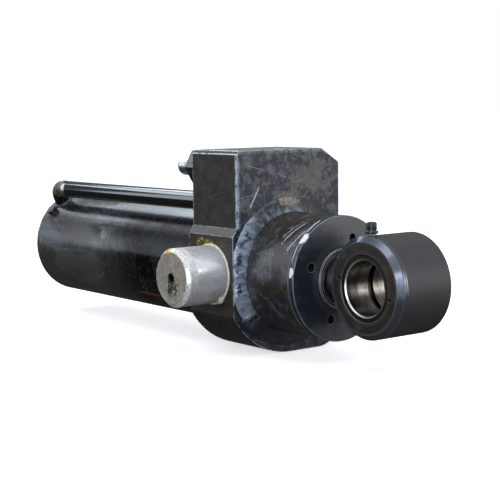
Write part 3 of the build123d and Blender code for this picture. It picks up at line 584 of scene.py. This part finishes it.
def pin_finish():
    """Bare turned steel: streaked along its length, speckled near the end, dirty on the end face."""
    f = Finish("pin_bare")
    outward = f.math("ABSOLUTE", f.y)
    from_axis = f.radius(f.x, f.z)
    end_face = f.step(outward, pin_end - 0.9 * MM, pin_end - 0.3 * MM)
    bevel = f.step(outward, pin_end - 5.6 * MM, pin_end - 4.9 * MM)
    bevel = f.both(bevel, f.math("SUBTRACT", 1.0, end_face))
    band = f.span(outward, pin_end - 17 * MM, pin_end - 4.5 * MM, 1.5 * MM)
    fine = f.grain(2.0 * MM, 6, 0.75)
    streaks = f.grain(9 * MM, 5, 0.7, stretch=(1, 3.5, 1), shift=3.0)
    rub = f.grain(6 * MM, 5, 0.75, warp=0.5, stretch=(1, 0.6, 2.4), shift=5.0)
    turned = f.lines(f.y, 0.55 * MM)
    blotch = f.step(f.grain(4.5 * MM, 5, 0.75, shift=11.0), 0.53, 0.60)
    splash = (0.003, -pin_end, -0.0145)
    splatter = f.both(
        f.spot(splash, 12.5 * MM, 1.4, 5 * MM),
        f.step(f.grain(9 * MM, 6, 0.85, warp=0.8, shift=2.0), 0.45, 0.48),
    )
    flakes = f.both(
        f.spot(splash, 14 * MM, 1.2, 4 * MM),
        f.step(f.grain(4.2 * MM, 5, 0.8, warp=0.6, shift=9.0), 0.58, 0.61),
    )
    yellow = f.either(
        f.spot((-0.008, -pin_end + 0.002, 0.037), 7.5 * MM, 0.4, 4 * MM, stretch=(1.1, 1, 0.7)),
        f.spot((-0.037, -pin_end + 0.001, 0.013), 7.5 * MM, 0.5, 4 * MM, stretch=(0.6, 0.6, 1.6)),
        f.both(
            f.spot((0.015, -pin_end + 0.001, 0.031), 11 * MM, 0.8, 4 * MM, stretch=(1, 0.6, 0.6)),
            f.step(fine, 0.55, 0.62),
        ),
    )
    flange_rim = f.span(from_axis, 33.4 * MM, 35.6 * MM, 0.5 * MM)
    # Painted shade: near-black in the centre hole and in a ring round it on the end face.
    centre_hole_shade = f.step(from_axis, 7.9 * MM, 7.3 * MM)
    colour = f.layers(
        (0.90, 0.91, 0.94),
        (f.step(streaks, 0.50, 0.62), (0.78, 0.78, 0.80)),
        (f.step(rub, 0.60, 0.68), (0.52, 0.51, 0.50)),
        (f.both(band, f.step(fine, 0.42, 0.58)), (0.45, 0.42, 0.37)),
        (f.both(band, blotch), (0.85, 0.83, 0.78)),
        (f.both(band, f.step(fine, 0.64, 0.68)), (0.12, 0.105, 0.08)),
        (f.both(bevel, f.step(rub, 0.42, 0.50)), (0.88, 0.87, 0.82)),
        (f.both(bevel, f.step(fine, 0.50, 0.58)), (0.34, 0.31, 0.25)),
        (end_face, (0.245, 0.212, 0.172)),
        (f.both(end_face, f.step(f.grain(6 * MM, 6, 0.75), 0.48, 0.62)), (0.37, 0.335, 0.285)),
        (f.both(end_face, f.step(fine, 0.58, 0.66)), (0.10, 0.082, 0.060)),
        (f.both(end_face, flange_rim, f.step(blotch, 0.2, 0.9)), (0.62, 0.58, 0.49)),
        (f.both(end_face, splatter), (0.005, 0.005, 0.006)),
        (f.both(end_face, flakes), (0.78, 0.79, 0.80)),
        (centre_hole_shade, (0.007, 0.006, 0.005)),
        (yellow, YELLOW),
    )
    dull = f.either(end_face, yellow, f.both(band, f.step(fine, 0.42, 0.62)))
    f.surface(
        colour,
        f.over(f.levels(rub, 0.15, 0.40), (band, 0.50), (end_face, 0.78)),
        f.over(0.62, (bevel, 0.25), (dull, 0.05)),
    )
    return f.relief(
        (turned, 0.015 * MM), (f.both(band, fine), 0.25 * MM), (f.both(end_face, splatter), -0.3 * MM)
    )


def weld_finish():
    """Weld metal under a thin blue-grey coat, with painted shade in the hollows and on the lower part, a
    painted highlight on the ridges and painted light at the left.
    """
    f = Finish("weld_painted")
    fine = f.grain(2.5 * MM, 6, 0.7)
    patch = f.grain(15 * MM, 6, 0.68, shift=4.0)
    grit = f.grain(5 * MM, 6, 0.75, shift=14.0)
    pointed = f.node("ShaderNodeNewGeometry").outputs["Pointiness"]
    # Painted highlight: paler colour on the sharp ridges of the bead, brightest on the left.
    crest_highlight = f.both(f.step(pointed, 0.50, 0.56), f.levels(fine, 0.0, 1.0))
    # Painted shade: near-black in the hollows of the bead.
    valley_shade = f.step(pointed, 0.497, 0.455)
    pit = f.step(f.grain(3.5 * MM, 4, 0.7, shift=6.0), 0.69, 0.73)
    shaded = f.both(
        f.step(f.y, 0.000, 0.022),
        f.step(f.x, block_front - 1 * MM, block_front),
        f.step(f.z, 0.02, 0.05),
    )
    earthy = f.spot((0.055, -0.004, 0.0985), 11 * MM, 1.2, 5 * MM, stretch=(1, 1.7, 0.6))
    joint = f.span(f.x, pipe_low.x - 5 * MM, pipe_low.x + 9 * MM, 0.5 * MM)
    # Painted light: the left side of the bead is painted paler blue-grey.
    left_side_light = f.both(f.step(f.y, -0.055, -0.080), f.step(f.z, -0.085, -0.065))
    # Painted shade: the lower part of the bead is painted darker and given no specular.
    under = f.step(f.math("ADD", f.z, f.levels(patch, -0.02, 0.02)), -0.050, -0.066)
    colour = f.layers(
        (0.030, 0.034, 0.042),
        (f.step(patch, 0.40, 0.58), (0.085, 0.097, 0.120)),
        (f.both(left_side_light, f.step(patch, 0.36, 0.50)), (0.250, 0.290, 0.370)),
        (f.both(f.step(grit, 0.50, 0.56), f.step(patch, 0.60, 0.40)), (0.012, 0.012, 0.014)),
        (crest_highlight, f.layers((0.105, 0.120, 0.145), (left_side_light, (0.38, 0.43, 0.52)))),
        (f.both(shaded, f.levels(grit, 0.6, 1.1)), (0.026, 0.024, 0.023)),
        (f.both(earthy, f.step(grit, 0.40, 0.54)), (0.26, 0.215, 0.165)),
        (f.both(under, f.levels(grit, 0.6, 1.1)), (0.011, 0.013, 0.017)),
        (valley_shade, (0.010, 0.011, 0.013)),
        (pit, (0.006, 0.006, 0.008)),
        (joint, (0.0520, 0.0430, 0.0320)),
    )
    f.surface(
        colour,
        f.over(f.levels(patch, 0.22, 0.42), (joint, 0.14)),
        f.over(0.30, (f.either(joint, under), 0.0)),
    )
    return f.relief((fine, 0.12 * MM), (pit, -0.4 * MM))


def seal_bead_finish():
    """Cream primer over the small bead round a trunnion pin."""
    f = Finish("bead_cream")
    fine = f.grain(3 * MM, 5, 0.7)
    bare = f.step(f.grain(14 * MM, 4, 0.6, shift=2.0), 0.60, 0.66)
    f.surface(
        f.layers(CREAM, (f.step(fine, 0.5, 0.7), (0.40, 0.37, 0.28)), (bare, (0.10, 0.09, 0.07))),
        f.levels(fine, 0.45, 0.75),
    )
    return f.relief((fine, 0.15 * MM))


def bright_finish():
    """Zinc-bright steel of the plugs, the grease nipple and the rod nut."""
    f = Finish("plug_bright", metallic=1.0)
    brushed = f.grain(4 * MM, 5, 0.65, stretch=(0.4, 2, 2))
    dull = f.grain(9 * MM, 5, 0.6, shift=3.0)
    colour = f.layers((0.52, 0.52, 0.51), (f.step(dull, 0.45, 0.70), (0.30, 0.30, 0.29)))
    f.surface(colour, f.levels(brushed, 0.22, 0.46))
    return f.relief((brushed, 0.03 * MM))


def valve_finish():
    """Painted hexagons of the valve and the bleed plug, rubbed bright on their corners."""
    f = Finish("valve_painted")
    mottle = f.grain(8 * MM, 5, 0.65)
    edge = f.edges(1.2 * MM)
    colour = f.layers(
        (0.012, 0.013, 0.016),
        (f.step(mottle, 0.45, 0.65), (0.024, 0.025, 0.028)),
        (f.both(edge, f.levels(mottle, 0.3, 1.2)), (0.26, 0.28, 0.31)),
    )
    f.surface(colour, f.levels(mottle, 0.20, 0.45))
    return f.relief((mottle, 0.08 * MM))


def chrome_finish():
    """Hard chrome under a thin, even coat of oil."""
    f = Finish("rod_chrome", metallic=1.0)
    oil = f.grain(45 * MM, 3, 0.55, stretch=(3, 1, 1))
    ground = f.lines(f.x, 0.4 * MM)
    f.two_tone(oil, (0.30, 0.75), ((0.58, 0.59, 0.61), (0.46, 0.455, 0.45)), (0.09, 0.17))
    return f.relief((ground, 0.006 * MM))


def machined_finish():
    """Turned steel of the barrel gland and both pistons."""
    f = Finish("machined_steel", metallic=1.0)
    turned = f.lines(f.x, 0.8 * MM)
    oil = f.grain(22 * MM, 5, 0.6)
    f.two_tone(oil, (0.42, 0.66), ((0.42, 0.42, 0.43), (0.24, 0.225, 0.20)), (0.18, 0.40))
    return f.relief((turned, 0.02 * MM))


def gland_finish():
    """Blackened gland ring with bright turned edges."""
    f = Finish("gland_black")
    from_axis = f.radius(f.y, f.z)
    turned = f.lines(from_axis, 0.5 * MM)
    edge = f.edges(0.9 * MM)
    mottle = f.grain(8 * MM, 5, 0.7)
    colour = f.layers(
        (0.020, 0.021, 0.024),
        (f.step(mottle, 0.45, 0.65), (0.042, 0.040, 0.038)),
        (f.both(edge, f.levels(mottle, 0.5, 1.4)), (0.50, 0.50, 0.49)),
    )
    f.surface(colour, f.levels(mottle, 0.20, 0.42))
    return f.relief((turned, 0.02 * MM))


def bronze_finish():
    """Bronze bushes, streaked with oil."""
    f = Finish("bush_bronze", metallic=1.0)
    oil = f.grain(10 * MM, 5, 0.6)
    f.two_tone(oil, (0.42, 0.66), ((0.52, 0.33, 0.15), (0.28, 0.16, 0.07)), (0.22, 0.45))
    return f.relief((f.lines(f.x, 0.7 * MM), 0.02 * MM))


def rubber_finish():
    """Black rubber with a dusty bloom."""
    f = Finish("rubber_black")
    bloom = f.grain(5 * MM, 5, 0.65)
    edge = f.edges(0.8 * MM)
    colour = f.layers(
        (0.008, 0.008, 0.009),
        (f.step(bloom, 0.46, 0.70), (0.020, 0.019, 0.018)),
        (f.both(edge, f.levels(bloom, 0.1, 1.0)), (0.085, 0.088, 0.095)),
    )
    f.surface(colour, f.levels(bloom, 0.10, 0.34))
    return f.relief((f.grain(1.2 * MM, 5, 0.7), 0.05 * MM))


def guide_finish():
    """Fabric-filled resin of the guide rings and the piston seals."""
    f = Finish("guide_resin")
    weave = f.grain(1.5 * MM, 3, 0.5)
    f.two_tone(weave, (0.45, 0.60), ((0.10, 0.045, 0.025), (0.17, 0.085, 0.045)), (0.38, 0.60))
    return f.relief((weave, 0.06 * MM))


# Every finish with the CAD nodes that wear it.
FINISHES = {
    "barrel": (barrel_finish(), "barrel_tube rear_cap"),
    "block": (block_finish(), "trunnion_block"),
    "pipe": (pipe_finish(), "pipe_elbow pressure_pipe"),
    "disc": (disc_finish(), "stage_head"),
    "eye": (eye_finish(), "rod_eye"),
    "retainer": (retainer_finish(), "retainer_ring_left retainer_ring_right"),
    "bearing": (bearing_finish(), "bearing_inner_ring bearing_outer_ring spacer_left spacer_right"),
    "pin": (pin_finish(), "trunnion_pin_left trunnion_pin_right"),
    "weld": (weld_finish(), "front_weld rear_weld rear_cap_weld pipe_welds"),
    "bead": (seal_bead_finish(), "pin_welds"),
    "bright": (bright_finish(), "valve_end_plug gallery_plug grease_nipple rod_nut"),
    "valve": (valve_finish(), "valve_body bleed_plug"),
    "chrome": (chrome_finish(), "rod stage_tube"),
    "machined": (machined_finish(), "barrel_gland stage_piston rod_piston"),
    "gland": (gland_finish(), "rod_gland_ring"),
    "bronze": (bronze_finish(), "gland_bushes rod_bush"),
    "rubber": (rubber_finish(), "gland_wiper rod_wiper nipple_cap gland_seal rod_seal"),
    "guide": (guide_finish(), "stage_wear_rings rod_wear_rings stage_piston_seal rod_piston_seal"),
}


def give_finish(piece, finish):
    """Puts a finish in every material slot of a piece."""
    if not piece.material_slots:
        piece.data.materials.append(finish)
    for material_slot in piece.material_slots:
        material_slot.material = finish


for finish, members in FINISHES.values():
    for member in members.split():
        give_finish(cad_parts[member], finish)


# ---------------------------------------------------------------- pieces made here

def new_piece(name, form, finish, body, replaced=()):
    """Turns a bmesh into a smooth-shaded piece that rides on a CAD body."""
    mesh = bpy.data.meshes.new(name)
    bmesh.ops.recalc_face_normals(form, faces=form.faces)
    form.to_mesh(mesh)
    form.free()
    mesh.polygons.foreach_set("use_smooth", [True] * len(mesh.polygons))
    piece = bpy.data.objects.new(name, mesh)
    scene.collection.objects.link(piece)
    give_finish(piece, FINISHES[finish][0])
    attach(piece, body)
    if replaced:
        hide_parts(*replaced)


def skin(form, rings, capped):
    """Skins rings of points; a face caps the first and last ring, or the last is joined to the first."""
    made = [[form.verts.new(point) for point in ring] for ring in rings]
    count = len(rings[0])
    for here, there in zip(made, made[1:] if capped else made[1:] + made[:1]):
        for i in range(count):
            j = (i + 1) % count
            form.faces.new((here[i], here[j], there[j], there[i]))
    if capped:
        form.faces.new(list(reversed(made[0])))
        form.faces.new(made[-1])


def wobble(*place):
    """Smooth noise from -1 to 1."""
    return noise.noise(Vector(place))


def turn_noise(turn, pace, seed):
    """Smooth noise that meets itself after a full turn, and changes faster with a higher pace."""
    return wobble(cos(turn) * pace, sin(turn) * pace, seed)


def bead_rings(section, steps, profile_steps, ripples, ripple, lump, seed):
    """Cross-sections of one weld bead that closes on itself.

    section(turn) gives the first toe, the second toe, the corner under the bead and how far the bead
    bulges at that turn round the seam. Ripples are crescents, evenly spread over the whole turn.
    """
    rings = []
    for i in range(steps):
        turn = 2 * pi * i / steps
        first, second, root, bulge = section(turn)
        first, second, root = Vector(first), Vector(second), Vector(root)
        outward = ((first + second) / 2 - root).normalized()
        strength = 0.55 + 0.75 * turn_noise(turn, 3, seed)
        ring = [root]
        for j in range(profile_steps + 1):
            t = j / profile_steps
            arch = 4 * t * (1 - t)
            crescent = turn / (2 * pi / ripples) + 0.55 * arch + 1.1 * turn_noise(turn, 6, seed + 9)
            scallop = abs(sin(pi * crescent)) ** 0.6 - 0.6
            swell = turn_noise(turn, 7.5, seed + 4 + t)
            height = arch**0.7 * (bulge + ripple * max(strength, 0.1) * scallop + lump * swell)
            ring.append(first.lerp(second, t) + outward * height)
        rings.append(ring)
    return rings


def beads_of(seams, steps, profile_steps, ripples, ripple, lump):
    """A bmesh with one weld bead for each seam, a pair of its section and its noise seed."""
    form = bmesh.new()
    for section, seed in seams:
        skin(form, bead_rings(section, steps, profile_steps, ripples, ripple, lump, seed), False)
    return form


SINK = 0.4 * MM               # how deep a bead's toes reach into the metal


def radial_point(turn, distance, x):
    """A point at this distance from the cylinder axis, at a turn from +Y towards +Z."""
    return (x, distance * cos(turn), distance * sin(turn))


def front_section(turn):
    """The big fillet between block and head, trimmed where the block's sides are nearer than its foot."""
    foot = (103.2 + 1.6 * turn_noise(turn, 4, 1.0) + 1.3 * turn_noise(turn, 16, 31.0)) * MM
    foot = min(foot, (lower_half_width - 0.6 * MM) / max(abs(cos(turn)), 0.01))
    reach = (8.4 + 2.2 * turn_noise(turn, 5, 8.0) + 1.6 * turn_noise(turn, 14, 18.0)) * MM
    return (
        radial_point(turn, foot, block_front - SINK),
        radial_point(turn, head_r - SINK, block_front + reach),
        radial_point(turn, head_r - SINK, block_front - SINK),
        2.0 * MM,
    )


front_bead = beads_of([(front_section, 3.0)], 900, 18, 58, 1.0 * MM, 2.8 * MM)
new_piece("front_weld_bead", front_bead, "weld", "barrel", ["front_weld"])


def rear_section(turn):
    """The fillet between the tube and the block's rear face."""
    leg = (10.4 + 1.0 * turn_noise(turn, 4, 5.0)) * MM
    return (
        radial_point(turn, tube_r + leg, block_rear + SINK),
        radial_point(turn, tube_r - SINK, block_rear - leg),
        radial_point(turn, tube_r - SINK, block_rear + SINK),
        1.0 * MM,
    )


rear_bead = beads_of([(rear_section, 12.0)], 760, 14, 90, 0.9 * MM, 0.6 * MM)
new_piece("rear_weld_bead", rear_bead, "weld", "barrel", ["rear_weld"])


def cap_section(turn):
    """The bead between the tube and its rear cap."""
    foot = (7.4 + 0.8 * turn_noise(turn, 4, 2.0)) * MM
    return (
        radial_point(turn, cap_weld_r - foot, cap_weld_high.x + 0.3 * MM),
        radial_point(turn, cap_weld_r + 0.2 * MM, cap_weld_low.x + 0.4 * MM),
        radial_point(turn, cap_weld_r + 0.2 * MM, cap_weld_high.x + 0.3 * MM),
        0.5 * MM,
    )


cap_bead = beads_of([(cap_section, 21.0)], 560, 10, 84, 0.5 * MM, 0.3 * MM)
new_piece("rear_cap_bead", cap_bead, "weld", "barrel", ["rear_cap_weld"])


def pin_section(side):
    """The thin bead round the pin on one side, with one run of primer that dried as a drip."""
    def section(turn):
        drip = max(0.0, cos(turn + radians(58))) ** 90
        leg = (2.1 + 0.35 * turn_noise(turn, 6, 3.0 + side) + 3.2 * drip) * MM
        ring_y = lower_half_width - 0.3 * MM
        relief_r = pin_r - 0.7 * MM

        def place(radius, outward):
            return (radius * cos(turn), side * outward, radius * sin(turn))

        return (
            place(pin_r + leg, ring_y),
            place(relief_r + 0.4 * MM, ring_y + leg * (1.0 + 1.1 * drip)),
            place(relief_r, ring_y),
            0.5 * MM,
        )

    return section


pin_seams = [(pin_section(side), 30.0 + side) for side in (-1, 1)]
pin_beads = beads_of(pin_seams, 480, 8, 60, 0.35 * MM, 0.35 * MM)
new_piece("pin_beads", pin_beads, "bead", "barrel", ["pin_welds"])


# Direction from the cylinder axis to the pipe, and the one across it.
toward_pipe = Vector((0.0, pipe_y, pipe_z)).normalized()
beside_pipe = Vector((0.0, -toward_pipe.z, toward_pipe.y))


def saddle_section(turn):
    """The saddle bead between the tube and the foot of the elbow."""
    toe = (2.9 + 0.6 * turn_noise(turn, 4, 7.0)) * MM

    def place(radius, lift):
        across = radius * sin(turn)
        height = sqrt(tube_r**2 - across**2) + lift
        return Vector((elbow_x + radius * cos(turn), 0, 0)) + beside_pipe * across + toward_pipe * height

    return (
        place(pipe_r + toe, -SINK),
        place(pipe_r - SINK, toe),
        place(pipe_r - SINK, -SINK),
        0.8 * MM,
    )


def pipe_point(turn, radius, x):
    """A point at this distance from the pipe's axis."""
    return (x, pipe_y + radius * cos(turn), pipe_z + radius * sin(turn))


def butt_section(turn):
    """The bead between elbow and pipe."""
    half = (4.4 + 0.5 * turn_noise(turn, 3, 4.0)) * MM
    joint_x = pipe_low.x + 2 * MM
    return (
        pipe_point(turn, pipe_r - 0.2 * MM, joint_x - half),
        pipe_point(turn, pipe_r - 0.2 * MM, joint_x + half),
        pipe_point(turn, pipe_r - 1.0 * MM, joint_x),
        0.7 * MM,
    )


def socket_section(turn):
    """The fillet where the pipe enters the block."""
    leg = (4.6 + 0.5 * turn_noise(turn, 4, 6.0)) * MM
    return (
        pipe_point(turn, pipe_r + leg * 0.7, block_rear + 0.3 * MM),
        pipe_point(turn, pipe_r - 0.3 * MM, block_rear - leg),
        pipe_point(turn, pipe_r - 0.3 * MM, block_rear + 0.3 * MM),
        0.6 * MM,
    )


pipe_seams = [(saddle_section, 41.0), (butt_section, 44.0), (socket_section, 47.0)]
pipe_beads = beads_of(pipe_seams, 260, 9, 26, 0.45 * MM, 0.3 * MM)
new_piece("pipe_weld_beads", pipe_beads, "weld", "barrel", ["pipe_welds"])


def add_drop(form, place, outward, radius):
    """A squashed, uneven drop of weld spatter that sits in the surface it landed on."""
    turn = outward.to_track_quat("Z", "Y").to_matrix().to_4x4()
    flat = Matrix.Diagonal((radius, radius, radius * 0.6, 1.0))
    where = Matrix.Translation(place) @ turn @ flat
    made = bmesh.ops.create_icosphere(form, subdivisions=2, radius=1.0, matrix=where)
    for vert in made["verts"]:
        vert.co += Vector((wobble(*(vert.co * 900)), wobble(*(vert.co * 800)), 0)) * radius * 0.2


# Spatter beside the front weld, by turns on the barrel's head and on the flat of the block's face.
flat_half_width = 88 * MM
flat_low = -100 * MM
flat_high = 150 * MM
drops = bmesh.new()
for count in range(90):
    turn = random.uniform(0, 2 * pi)
    radius = random.uniform(0.35, 0.9) * MM
    if count % 2:
        distance = random.uniform(106, 122) * MM
        across, up = distance * cos(turn), distance * sin(turn)
        if abs(across) < flat_half_width and flat_low < up < flat_high:
            add_drop(drops, Vector((block_front, across, up)), Vector((1, 0, 0)), radius)
    else:
        along = block_front + random.uniform(12, 26) * MM
        outward = Vector(radial_point(turn, 1.0, 0.0))
        add_drop(drops, Vector(radial_point(turn, head_r, along)), outward, radius)
new_piece("weld_spatter", drops, "weld", "barrel")


# Ribbed rubber cap on the grease nipple, with its strap ring and pull tab.
CAP_RIBS = 11
cap_base = cap_low.z
cap_y = cap_mid.y
cap_x = cap_low.x + 8.5 * MM
tab_x = cap_high.x - 3 * MM


def level_ring(middle_x, radius, height, steps, rib=0.0):
    """A ring of the cap or its tab, with ribs that stand out by rib."""
    ring = []
    for i in range(steps):
        turn = 2 * pi * i / steps
        r = radius + rib * max(0.0, cos(CAP_RIBS * turn)) ** 0.7
        ring.append((middle_x + r * cos(turn), cap_y + r * sin(turn), cap_base + height))
    return ring


# Radius, height and rib of each ring in millimetres; the heights are scaled to the cap of the CAD.
cap_profile = (
    (8.3, 0.0, 0.0), (8.5, 0.5, 0.0), (8.5, 2.0, 0.0), (8.2, 2.5, 0.0), (6.2, 2.8, 0.0),
    (5.9, 3.6, 0.2), (5.9, 4.2, 0.9), (5.9, 9.6, 0.9), (5.8, 10.4, 0.6), (5.0, 11.2, 0.1),
    (3.4, 11.5, 0.0), (2.6, 11.3, 0.0), (0.8, 11.2, 0.0),
)
profile_top = 11.5
tab_profile = ((2.6, 0.2), (3.0, 0.6), (3.0, 1.9), (2.6, 2.3))
scale = (cap_high.z - cap_low.z) / profile_top
cap_steps = 110
tab_steps = 24
rubber = bmesh.new()
skin(rubber, [level_ring(cap_x, r * MM, h * scale, cap_steps, rib * MM) for r, h, rib in cap_profile], True)
skin(rubber, [level_ring(tab_x, r * MM, h * MM, tab_steps) for r, h in tab_profile], True)
new_piece("nipple_cap_ribbed", rubber, "rubber", "rod", ["nipple_cap"])


# ---------------------------------------------------------------- floor, light and camera

def pale_floor():
    """A pale studio floor with a little glow of its own, so that it stays pale to the horizon."""
    f = Finish("floor_pale")
    f.surface((0.86, 0.86, 0.86), 0.9)
    f.shader.inputs["Emission Color"].default_value = WHITE
    f.shader.inputs["Emission Strength"].default_value = 0.62
    return f.material


floor_mesh = bpy.data.meshes.new("floor")
floor_form = bmesh.new()
bmesh.ops.create_grid(floor_form, x_segments=2, y_segments=2, size=60.0)
floor_form.to_mesh(floor_mesh)
floor_form.free()
floor = bpy.data.objects.new("floor", floor_mesh)
floor.location.z = cad_box[0][2]
floor_mesh.materials.append(pale_floor())
floor.visible_glossy = False
floor.visible_diffuse = False
floor.visible_shadow = False
scene.collection.objects.link(floor)


def softbox(name, direction, distance, width, height, radiance, colour=(1.0, 1.0, 1.0)):
    """A soft rectangular lamp seen from the object along a direction, and facing it."""
    data = bpy.data.lights.new(name, "AREA")
    data.shape = "RECTANGLE"
    data.size = width
    data.size_y = height
    data.energy = radiance * width * height * pi
    data.color = colour
    lamp = bpy.data.objects.new(name, data)
    toward = Vector(direction).normalized()
    lamp.matrix_world = (
        Matrix.Translation(toward * distance) @ toward.to_track_quat("Z", "Y").to_matrix().to_4x4()
    )
    lamp.visible_camera = False
    scene.collection.objects.link(lamp)


COOL = (0.80, 0.90, 1.0)
softbox("overhead", (0.15, -0.10, 1.0), 2.6, 2.4, 2.4, 1.6)
softbox("rear_top", (-0.784, 0.22, 0.58), 3.0, 1.2, 0.60, 6.5, COOL)
softbox("rear_left", (-0.800, -0.21, 0.53), 3.0, 1.0, 0.60, 6.5, COOL)
softbox("rear_left_low", (-0.784, -0.53, 0.24), 3.0, 0.6, 1.4, 4.2, COOL)
softbox("front_left", (0.55, -0.83, 0.10), 2.8, 1.2, 1.9, 5.0, COOL)
softbox("front_right", (0.776, 0.61, 0.16), 2.8, 1.5, 1.5, 3.6)
softbox("front_right_strip", (0.776, 0.61, 0.20), 2.7, 0.9, 0.16, 16.0, COOL)

world = bpy.data.worlds.new("studio")
world.use_nodes = True
scene.world = world
# Pale overhead and dark below, dimmer toward the rear; the camera itself sees white.
sky = Patterns(world.node_tree, "Generated")
lifted = sky.node("ShaderNodeMapRange", {"Value": sky.z, "From Min": -1.0}).outputs["Result"]
dome = sky.node("ShaderNodeValToRGB", {"Fac": lifted})
dome.color_ramp.elements[0].position = 0.42
dome.color_ramp.elements[0].color = (0.11, 0.105, 0.10, 1)
dome.color_ramp.elements[1].color = (0.95, 1.0, 1.1, 1)
dome.color_ramp.elements.new(0.53).color = (0.34, 0.35, 0.37, 1)
rear_to_front = {"Value": sky.x, "From Min": -0.8, "From Max": -0.1, "To Min": 0.40, "To Max": 1.0}
dimming = sky.node("ShaderNodeMapRange", rear_to_front).outputs["Result"]
dimmed = sky.node("ShaderNodeVectorMath", {0: dome.outputs["Color"], "Scale": dimming}, operation="SCALE")
seen = sky.node("ShaderNodeLightPath").outputs["Is Camera Ray"]
backdrop = sky.mix(seen, dimmed.outputs["Vector"], WHITE)
sky.feed(world.node_tree.nodes["Background"].inputs["Color"], backdrop)
scene.view_settings.view_transform = "Standard"

camera_data = bpy.data.cameras.new("camera")
camera_data.sensor_width = 36.0
camera_data.lens = 91.1
camera = bpy.data.objects.new("camera", camera_data)
camera_azimuth = radians(52.12)
camera_elevation = radians(6.44)
camera_roll = radians(-0.7055)
camera_distance = 1.8203
camera_target = Vector((-0.0393, 0.0, 0.0220))
level = cos(camera_elevation)
camera_back = Vector((sin(camera_azimuth) * level, -cos(camera_azimuth) * level, sin(camera_elevation)))
camera.matrix_world = (
    Matrix.Translation(camera_target + camera_back * camera_distance)
    @ camera_back.to_track_quat("Z", "Y").to_matrix().to_4x4()
    @ Matrix.Rotation(camera_roll, 4, "Z")
)
scene.collection.objects.link(camera)
scene.camera = camera
